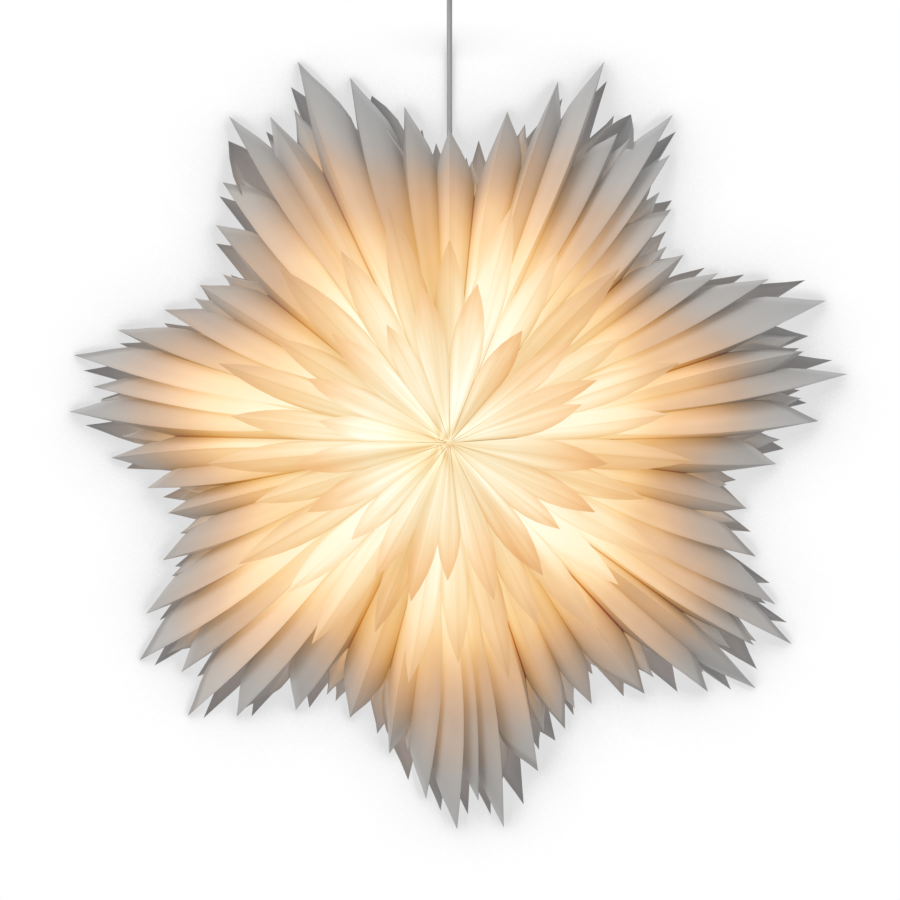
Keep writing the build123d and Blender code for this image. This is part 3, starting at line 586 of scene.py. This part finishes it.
def blade_behind(name, one, two, side):
    """A loose blade, 26 to 38 mm wide, behind the valley between two leaves. Its tip shows in the notch."""
    angle = (one[0] + two[0]) / 2 + chance.uniform(-1.2, 1.2)
    reach = (one[1] + two[1]) / 2 * chance.uniform(0.86, 0.97)
    wide = math.degrees(chance.uniform(13.0, 19.0) / reach)
    root, tip = spot(angle, 0.45 * reach, 4.0, side), (angle, reach, chance.uniform(0.5, 6.0))
    tone, lean = chance.random(), chance.uniform(-5.0, 5.0)
    return [fold_half(name, root, tip, (angle + hand * wide, 0.80 * reach, -1.5), side, tone, bulge=0.12,
                      crown=chance.uniform(-0.5, 2.0), lean=lean) for hand in (-1, 1)]


def outer_lobe(name, ridges, side, swing, materials):
    """One lobe, from the ridge of its first leaf to the ridge of the next lobe's first leaf."""
    centre = spot(0, 0, OUTER_CENTRE, side)
    last = len(ridges) - 1
    depths = [9.0 if abs(angle % 360 - 90) < 0.5 else 5.0 for angle, reach in ridges]
    depths = [depths[0]] + [chance.uniform(3.0, 12.0) for _ in ridges[1:-1]] + [depths[-1]]
    tones = [0.5] + [chance.random() for _ in ridges[1:-1]] + [0.5]
    fins = [swing * chance.choice((-0.6, 1, 1, 1)) * chance.uniform(0.6, 1.0) for _ in ridges[1:-1]]
    fins = [0.0] + fins + [0.0]
    halves = []
    for place in range(last):
        one, two = ridges[place], ridges[place + 1]
        notch = NOTCH * (one[1] + two[1]) / 2
        sway = -FIN_SWAY * (fins[place] + fins[place + 1]) * (one[0] - two[0])
        valley = ((one[0] + two[0]) / 2 + sway, notch, 4.0)
        for pick, ridge, hand in ((place, one, 1), (place + 1, two, -1)):
            rounded = ridge in ROUND_TIPS and side > 0
            full = 0.065 + 0.06 * hand * fins[pick]
            halves.append(fold_half(name, centre, (*ridge, depths[pick]), valley, side, tones[pick],
                                    bulge=0.20 if rounded else full, needle=not rounded,
                                    crown=3.0 + 4.0 * hand * fins[pick], lean=FIN_LEAN * fins[pick]))
        halves += blade_behind(name, one, two, side)
    return pleated_skin(name, halves, materials)


LOBE_SWING = [-1, -1, -1, 1, 1, 1, 1]
paper_pieces = {}
for face, side, rows in (("front", -1, FRONT_TIPS), ("rear", 1, REAR_TIPS)):
    for number, row in enumerate(rows):
        after = rows[(number + 1) % 7][0]
        after = (after[0] - 360 if number == 6 else after[0], after[1])
        skin = outer_lobe(f"{face}_leaves_{number + 1}", row + [after], side, LOBE_SWING[number],
                          [outer_paper, paper_inside])
        paper_pieces[f"{face}_lobe_{number + 1}"] = skin
print("outer tier", len(paper_pieces), "skins,",
      sum(len(skin.data.polygons) for skin in paper_pieces.values()), "faces")

# %% [markdown]
# The two smaller tiers are made the same way, once round. Their petals are broader than the leaves, have
# round ends and stand off the tier beneath them.

# %% Smaller tiers
def petal_tier(name, tips, side, centre_depth, ridge_slope, valley_slope, notch, bulge, paper):
    """A whole tier of petals, which starts and ends on the first petal's ridge."""
    centre = spot(0, 0, centre_depth, side)
    ring = tips + [(tips[0][0] - 360, tips[0][1])]
    tones = [chance.random() for _ in tips]
    halves = []
    for place, (one, two) in enumerate(zip(ring, ring[1:])):
        foot = notch * (one[1] + two[1]) / 2
        valley = ((one[0] + two[0]) / 2, foot, centre_depth - valley_slope * foot)
        for pick, ridge in ((place, one), ((place + 1) % len(tips), two)):
            depth = centre_depth - ridge_slope * ridge[1]
            halves.append(fold_half(name, centre, (*ridge, depth), valley, side, tones[pick],
                                    bulge=bulge, needle=False, crown=1.5))
    return pleated_skin(name, halves, [paper, paper])


for face, side in (("front", -1), ("rear", 1)):
    paper_pieces[f"{face}_middle_rosette"] = petal_tier(
        f"{face}_middle_petals", MIDDLE_TIPS, side, centre_depth=100.15, ridge_slope=0.129, valley_slope=0.205,
        notch=0.50, bulge=0.07, paper=middle_paper)
    paper_pieces[f"{face}_inner_rosette"] = petal_tier(
        f"{face}_inner_petals", INNER_TIPS, side, centre_depth=101.3, ridge_slope=0.052, valley_slope=0.110,
        notch=0.44, bulge=0.09, paper=inner_paper)

bpy.data.objects.remove(blank)
for cad_node, piece in paper_pieces.items():
    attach(piece, "star")
    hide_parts(cad_node)
print("paper pieces", len(paper_pieces))

# %% [markdown]
# ## The cord's place
# The cord rides with the pendant.

# %% The cord's place
cord_sheath = new_material("grey_pvc_sheath")
coords = node(cord_sheath, "TexCoord")
drawn = node(cord_sheath, "Mapping", {"Vector": coords.outputs["Object"], "Scale": (900, 900, 30)})
lines = node(cord_sheath, "TexNoise", {"Vector": drawn, "Scale": 1.0})
grey = node(cord_sheath, "ValToRGB", {0: lines.outputs["Fac"]}, stops=[(0.3, "#8E8E8F"), (0.7, "#A3A3A3")])
bump = node(cord_sheath, "Bump", {"Height": lines.outputs["Fac"], "Strength": 0.2, "Distance": 0.0001})
shader = node(cord_sheath, "BsdfPrincipled", {"Base Color": grey, "Roughness": 0.42, "Normal": bump})
node(cord_sheath, "OutputMaterial", {"Surface": shader})
cord.data.materials.append(cord_sheath)
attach(cord, "pendant")
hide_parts("pendant_cord")

# %% [markdown]
# ## Surfaces with a grain
# The hard pieces are bought parts, and each has the surface that its making leaves: moulded plastic a fine
# even grain, powder coat an orange peel, rolled and drawn metal lines along the work. They differ in colour,
# gloss and grain more than in kind, so one recipe serves, with a grain given in millimetres: a noise whose
# scale is 1000 / mm repeats about once in that length. Where a real grain is too fine to be seen, it is drawn
# as coarse as 0.2 mm.

# %% Surfaces with a grain
def grained(name, dark, pale, grain, roughness, relief=0.10, stretch=(1, 1, 1), metallic=0.0, wear=0.06):
    """A surface whose colour, gloss and relief vary with a grain of that many millimetres.

    Handling leaves patches about 14 mm across, whose gloss differs by wear.
    """
    surface = new_material(name)
    coords = node(surface, "TexCoord")
    drawn = node(surface, "Mapping", {"Vector": coords.outputs["Object"], "Scale": stretch})
    fine = node(surface, "TexNoise", {"Vector": drawn, "Scale": 1000 / grain, "Detail": 3.0})
    handled = node(surface, "TexNoise", {"Vector": coords.outputs["Object"], "Scale": 70.0})
    both = node(surface, "Mix", {0: 0.2, 2: fine.outputs["Fac"], 3: handled.outputs["Fac"]})
    colour = node(surface, "ValToRGB", {0: both}, stops=[(0.38, dark), (0.62, pale)])
    gloss = node(surface, "MapRange", {"Value": handled.outputs["Fac"], "From Min": 0.3, "From Max": 0.7,
                                       "To Min": roughness - wear, "To Max": roughness + wear})
    bump = node(surface, "Bump", {"Height": fine.outputs["Fac"], "Strength": relief, "Distance": 0.0002})
    shader = node(surface, "BsdfPrincipled", {"Base Color": colour, "Metallic": metallic, "Roughness": gloss,
                                              "Normal": bump})
    node(surface, "OutputMaterial", {"Surface": shader})
    return surface


finishes = {
    # thermoset plastic takes the mould's fine even grain and has a soft gloss
    "holder_plastic": grained("moulded_white_polyester", "#D6D6D1", "#E3E3DF", 0.25, 0.42, relief=0.22),
    # steatite is pressed and fired without a glaze: chalky, with faint specks
    "holder_ceramic": grained("unglazed_steatite", "#D5D1C6", "#EAE7DF", 0.6, 0.78, relief=0.30),
    # the grip is nylon, a little waxy
    "grip_plastic": grained("moulded_nylon_grip", "#C9C9C7", "#D8D8D6", 0.3, 0.48, relief=0.15),
    "terminal_nylon": grained("moulded_nylon_block", "#DCDAD2", "#ECEBE5", 0.4, 0.40, relief=0.12),
    "bulb_collar_plastic": grained("moulded_white_polycarbonate", "#E2E1DC", "#F0EFEB", 0.3, 0.34),
    # powder coat melts into small soft waves, the orange peel, about 0.9 mm across
    "canopy_paint": grained("white_powder_coat", "#DEDEDB", "#E8E8E6", 0.9, 0.36, relief=0.35, wear=0.04),
    # grey board has long flecks of pulp
    "end_card": grained("grey_board", "#B9AF9F", "#D8D0C2", 0.8, 0.90, relief=0.40, stretch=(1, 1, 0.3)),
    # presses and rollers leave lines along the strip, and zinc dulls them to a blue grey
    "zinc_steel": grained("zinc_plated_sheet", "#9EA1A6", "#C6C9CC", 0.25, 0.36, relief=0.12,
                          stretch=(0.05, 1, 1), metallic=1.0, wear=0.10),
    "screw_steel": grained("zinc_plated_screw", "#9A9EA5", "#C2C6CC", 0.2, 0.30, relief=0.15, metallic=1.0),
    "hanger_steel": grained("zinc_plated_wire", "#979A9E", "#BFC2C5", 0.2, 0.34, relief=0.15,
                            stretch=(1, 1, 0.05), metallic=1.0),
    # brass is warm where it is rubbed and browner where it is not
    "contact_brass": grained("pressed_brass", "#B08A45", "#D9B876", 0.25, 0.30, stretch=(1, 0.1, 1),
                             metallic=1.0, wear=0.10),
    "eyelet_brass": grained("rolled_eyelet_brass", "#B58F4A", "#DDBE7E", 0.3, 0.26, metallic=1.0),
    "thumbscrew_brass": grained("turned_thumbscrew_brass", "#B38D49", "#DCBC7C", 0.2, 0.24, relief=0.14,
                                stretch=(1, 0.08, 0.08), metallic=1.0, wear=0.08),
    # the glass bead between the bulb's cap and tip
    "black_glass": grained("black_cap_glass", "#0E0D10", "#1B191F", 1.5, 0.12, relief=0.06),
}
print("grained finishes", len(finishes))

# %% [markdown]
# ## Threaded cap and shell
# A small Edison thread is rolled into thin sheet, so it shows as soft round waves that climb 2.82 mm in a
# turn. The solids are plain there, so that the bulb turns freely in the holder, and the wave is a relief in
# the finish: height over the pitch plus the turn about the axis goes up and down once a turn.

# %% Threaded cap and shell
THREAD_PITCH = 2.82


def rolled_thread(name, valley, crest, roughness):
    """Plated sheet with a round thread about the Z axis."""
    metal = new_material(name)
    coords = node(metal, "TexCoord")
    place = node(metal, "SeparateXYZ", {0: coords.outputs["Object"]})
    turn = node(metal, "Math", {0: place.outputs[1], 1: place.outputs[0]}, operation="ARCTAN2")
    turn = node(metal, "Math", {0: turn, 1: 2 * math.pi}, operation="DIVIDE")
    climb = node(metal, "Math", {0: place.outputs[2], 1: 1000 / THREAD_PITCH, 2: turn},
                 operation="MULTIPLY_ADD")
    wave = node(metal, "Math", {0: climb, 1: 0.5}, operation="PINGPONG")
    wave = node(metal, "MapRange", {"Value": wave, "From Min": 0.0, "From Max": 0.5},
                interpolation_type="SMOOTHSTEP")
    # darker in the thread's grooves and paler on its crests: painted shade over the relief
    colour = node(metal, "ValToRGB", {0: wave}, stops=[(0.0, valley), (0.8, crest)])
    rubbed = node(metal, "TexNoise", {"Vector": coords.outputs["Object"], "Scale": 900.0})
    gloss = node(metal, "MapRange", {"Value": rubbed.outputs["Fac"], "From Min": 0.3, "From Max": 0.7,
                                     "To Min": roughness - 0.07, "To Max": roughness + 0.07})
    bump = node(metal, "Bump", {"Height": wave, "Strength": 0.9, "Distance": 0.0008})
    shader = node(metal, "BsdfPrincipled", {"Base Color": colour, "Metallic": 1.0, "Roughness": gloss,
                                            "Normal": bump})
    node(metal, "OutputMaterial", {"Surface": shader})
    return metal


finishes["bulb_cap_nickel"] = rolled_thread("nickel_plated_cap", "#8E8B86", "#CFCCC6", 0.24)
shell_brass = rolled_thread("rolled_shell_brass", "#A07C3C", "#D8B673", 0.30)
print("thread pitch", THREAD_PITCH, "mm")

# %% [markdown]
# ## The lit bulb
# The globe is opal plastic over a small board of light-emitting diodes. Seen direct it is an even warm white,
# a little dimmer at the collar, where the board is edge on. The board itself is white solder mask with
# yellow phosphor squares, which a Voronoi pattern with little randomness lays out in rows 4 mm apart.

# %% The lit bulb
GLOBE_TOP, GLOBE_LOW = -0.515, -0.5475
CHIP_GAP = 4.0
opal = new_material("lit_opal_globe")
coords = node(opal, "TexCoord")
place = node(opal, "SeparateXYZ", {0: coords.outputs["Object"]})
frost = node(opal, "TexNoise", {"Vector": coords.outputs["Object"], "Scale": 1500.0})
down = node(opal, "MapRange", {"Value": place.outputs[2], "From Min": GLOBE_TOP, "From Max": GLOBE_LOW,
                               "To Max": 0.96})
speck = node(opal, "Math", {0: frost.outputs["Fac"], 1: 0.06, 2: down}, operation="MULTIPLY_ADD")
glow = node(opal, "ValToRGB", {0: speck}, stops=[(0.0, "#E9CFA0"), (0.35, "#FFEBC4"), (1.0, "#FFF4DC")])
bump = node(opal, "Bump", {"Height": frost.outputs["Fac"], "Strength": 0.08, "Distance": 0.0002})
shader = node(opal, "BsdfPrincipled", {"Base Color": linear("#8A8883"), "Roughness": 0.38,
                                       "Emission Color": glow, "Emission Strength": 0.9, "Normal": bump})
node(opal, "OutputMaterial", {"Surface": shader})
finishes["bulb_opal"] = opal

board = new_material("white_solder_mask")
coords = node(board, "TexCoord")
chips = node(board, "TexVoronoi", {"Vector": coords.outputs["Object"], "Scale": 1000 / CHIP_GAP,
                                   "Randomness": 0.12}, distance="CHEBYCHEV")
chip = node(board, "MapRange", {"Value": chips.outputs["Distance"], "From Min": 0.24, "From Max": 0.28,
                                "To Min": 1.0, "To Max": 0.0})
skin = node(board, "Mix", {0: chip, 6: linear("#E9E8E2"), 7: linear("#E8B83A")}, data_type="RGBA")
raised = node(board, "Bump", {"Height": chip, "Strength": 0.6, "Distance": 0.0005})
shader = node(board, "BsdfPrincipled", {"Base Color": skin.outputs[2], "Roughness": 0.35, "Normal": raised})
node(board, "OutputMaterial", {"Surface": shader})
finishes["board_aluminium"] = board
print("globe glows over", round(1000 * (GLOBE_TOP - GLOBE_LOW), 1), "mm")

# %% [markdown]
# ## Finishes on the CAD pieces
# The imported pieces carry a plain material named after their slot. Each visible one gets its finish in that
# place, and its mesh is left alone.

# %% Finishes on the CAD pieces
finished = 0
for cad_node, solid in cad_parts.items():
    slot_name = solid.material_slots[0].material.name
    if cad_node == "holder_screw_shell":
        solid.material_slots[0].material = shell_brass
        finished += 1
    elif slot_name in finishes:
        solid.material_slots[0].material = finishes[slot_name]
        finished += 1
print("CAD pieces with a finish", finished)

# %% [markdown]
# ## Cores of the cord
# Inside its sheath the cord has two cores in thin PVC, brown for live and blue for neutral, and white ones in
# the holder, where they are hidden. Extruded PVC is glossy, with faint lines along it. Each wire is one soft
# NURBS curve, made a mesh. The two in the canopy go out to the side, down and back in, and the canopy comes
# down while the terminal block stays up.

# %% Cores of the cord
def wire_pvc(name, dark, pale):
    """Extruded PVC, with a fine waviness about 0.5 mm across."""
    return grained(name, dark, pale, 0.5, 0.30)


def as_mesh(tube, name):
    """The curve's tube as a mesh of its own."""
    deselect()
    tube.select_set(True)
    bpy.context.view_layer.objects.active = tube
    bpy.ops.object.convert(target="MESH")
    made = bpy.context.object
    made.name = made.data.name = name
    bpy.ops.object.shade_smooth_by_angle(angle=math.radians(40))
    return made


CORE_DIAMETER, HOLDER_CORE_DIAMETER = 2.2, 1.8
WIRE_ROUTE = [(1.3, -44), (1.3, -36), (32, -36), (32, -22), (5, -22), (5, -9)]
for name, hand, dark, pale in (("live_wire", 1, "#553018", "#6B3F22"),
                               ("neutral_wire", -1, "#1A4A8F", "#2A62AE")):
    route = [(hand * x * MM, 0, z * MM) for x, z in WIRE_ROUTE]
    wire = as_mesh(spline_tube(name + "_line", route, CORE_DIAMETER * MM), name + "_core")
    wire.data.materials.append(wire_pvc("brown_pvc" if hand > 0 else "blue_pvc", dark, pale))
    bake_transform(wire)
    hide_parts(name)
    print(wire.name, len(wire.data.polygons), "faces")

# %% Cores in the holder
HOLDER_ROUTE = [(1.3, -444.8), (1.3, -449.0), (6.2, -453.5), (6.2, -457.9)]
white_pvc = wire_pvc("white_pvc", "#C9C9C6", "#DCDCDA")
cores = []
for hand in (-1, 1):
    route = [(hand * x * MM, 0, z * MM) for x, z in HOLDER_ROUTE]
    core = as_mesh(spline_tube("holder_core_line", route, HOLDER_CORE_DIAMETER * MM), "holder_core")
    core.data.materials.append(white_pvc)
    cores.append(core)
holder_cores = joined(cores, "holder_cores")
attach(holder_cores, "pendant")
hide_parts("holder_wires")
print("cores in the holder", len(holder_cores.data.polygons), "faces")

# %% [markdown]
# The cord's last 25 mm stand in the canopy, held by the grip's screw. It is the same flex, so it is made as
# the hanging cord is, and it moves with the canopy. It isn't free, so it isn't declared as a cord.

# %% Cord in the canopy
tail_points = [(0, 0, -0.069), (0, 0, -0.061), (0, 0, -0.052), (0, 0, -0.044)]
tail = spline_tube("canopy_cord_tail", tail_points, CORD_DIAMETER)
tail.data.materials.append(cord_sheath)
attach(tail, "canopy")
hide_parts("cord_tail")
print("cord in the canopy", round((tail_points[-1][2] - tail_points[0][2]) / MM), "mm")

# %% [markdown]
# ## Hook and loop tape
# The leaf stack closes round the cord with tape: stiff little hooks on the left card, soft loops on the
# right. A patch is a woven backing with a nap. The backing is a block with rounded edges, and the nap is a
# fine grid whose points are pulled out to seeded random heights.

# %% Hook and loop tape
TAPE, NAP = 3.25, 0.7       # thickness of the whole tape and of its nap, in mm
CARD_GAP = 3.3              # from the middle plane to the card
TAPE_PLACE, TAPE_Z = 16, -0.330
tape_finishes = {"hook": grained("nylon_hook_tape", "#C6C5C0", "#E6E5E1", 0.5, 0.55, relief=0.5),
                 "loop": grained("brushed_loop_tape", "#CFCEC8", "#EFEEEA", 0.35, 0.92, relief=0.8)}


def tape_patch(hand, face):
    """One patch, 20 by 40 mm. hand is -1 left and +1 right, face -1 in front of the cord and +1 behind."""
    deselect()
    thick = TAPE - NAP
    bpy.ops.mesh.primitive_cube_add(size=1.0, location=(hand * (CARD_GAP - thick / 2) * MM,
                                                        face * TAPE_PLACE * MM, TAPE_Z))
    backing = bpy.context.object
    backing.scale = (thick * MM, 20 * MM, 40 * MM)
    bpy.ops.object.transform_apply(location=True, rotation=True, scale=True)
    bpy.ops.object.mode_set(mode="EDIT")
    bpy.ops.mesh.select_all(action="SELECT")
    bpy.ops.mesh.bevel(offset=0.0005, segments=2)
    bpy.ops.object.mode_set(mode="OBJECT")
    deselect()
    bpy.ops.mesh.primitive_grid_add(x_subdivisions=56, y_subdivisions=28, size=1.0,
                                    rotation=(0, math.radians(90), 0),
                                    location=(hand * (CARD_GAP - thick) * MM, face * TAPE_PLACE * MM, TAPE_Z))
    nap = bpy.context.object
    nap.scale = (39 * MM, 19 * MM, 1)
    bpy.ops.object.transform_apply(location=True, rotation=True, scale=True)
    for vertex in nap.data.vertices:
        vertex.co.x = hand * (0.06 + NAP * chance.random()) * MM
    return [backing, nap]


for kind, hand in (("hook", -1), ("loop", 1)):
    tape = joined(tape_patch(hand, -1) + tape_patch(hand, 1), kind + "_tape")
    tape.data.materials.append(tape_finishes[kind])
    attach(tape, "star")
    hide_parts(kind + "_pads")
    print(tape.name, len(tape.data.polygons), "faces")

# %% [markdown]
# ## Gather threads
# Behind each face a cotton thread draws the leaves' inner ends together. It has two plies, so each ply is a
# thin ring whose points wind round the thread's middle, 26 turns in the loop, half a turn from the other ply.

# %% Gather threads
LOOP, PLY, WOUND, TURNS = 7.0, 0.30, 0.28, 26  # radii of the loop, of a ply and of its winding, in mm
GATHER_DEPTH = 0.0941
cotton = grained("twisted_cotton", "#D2CBB8", "#EFEADB", 0.3, 0.90, relief=0.7)
for name, face in (("front_gather_thread", -1), ("rear_gather_thread", 1)):
    plies = []
    for ply_start in (0, math.pi):
        deselect()
        bpy.ops.mesh.primitive_torus_add(major_radius=LOOP * MM, minor_radius=PLY * MM, major_segments=260,
                                         minor_segments=8, location=(0, face * GATHER_DEPTH, STAR_Z),
                                         rotation=(math.radians(90), 0, 0))
        ply = bpy.context.object
        bpy.ops.object.transform_apply(location=True, rotation=True, scale=True)
        for vertex in ply.data.vertices:
            round_loop = math.atan2(vertex.co.z - STAR_Z, vertex.co.x)
            wind = TURNS * round_loop + ply_start
            out = WOUND * MM * math.cos(wind)
            vertex.co.x += out * math.cos(round_loop)
            vertex.co.z += out * math.sin(round_loop)
            vertex.co.y += WOUND * MM * math.sin(wind)
        plies.append(ply)
    thread = joined(plies, name.replace("thread", "ring"))
    bpy.ops.object.shade_smooth_by_angle(angle=math.radians(60))
    thread.data.materials.append(cotton)
    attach(thread, "star")
    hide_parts(name)
    print(thread.name, len(thread.data.polygons), "faces")
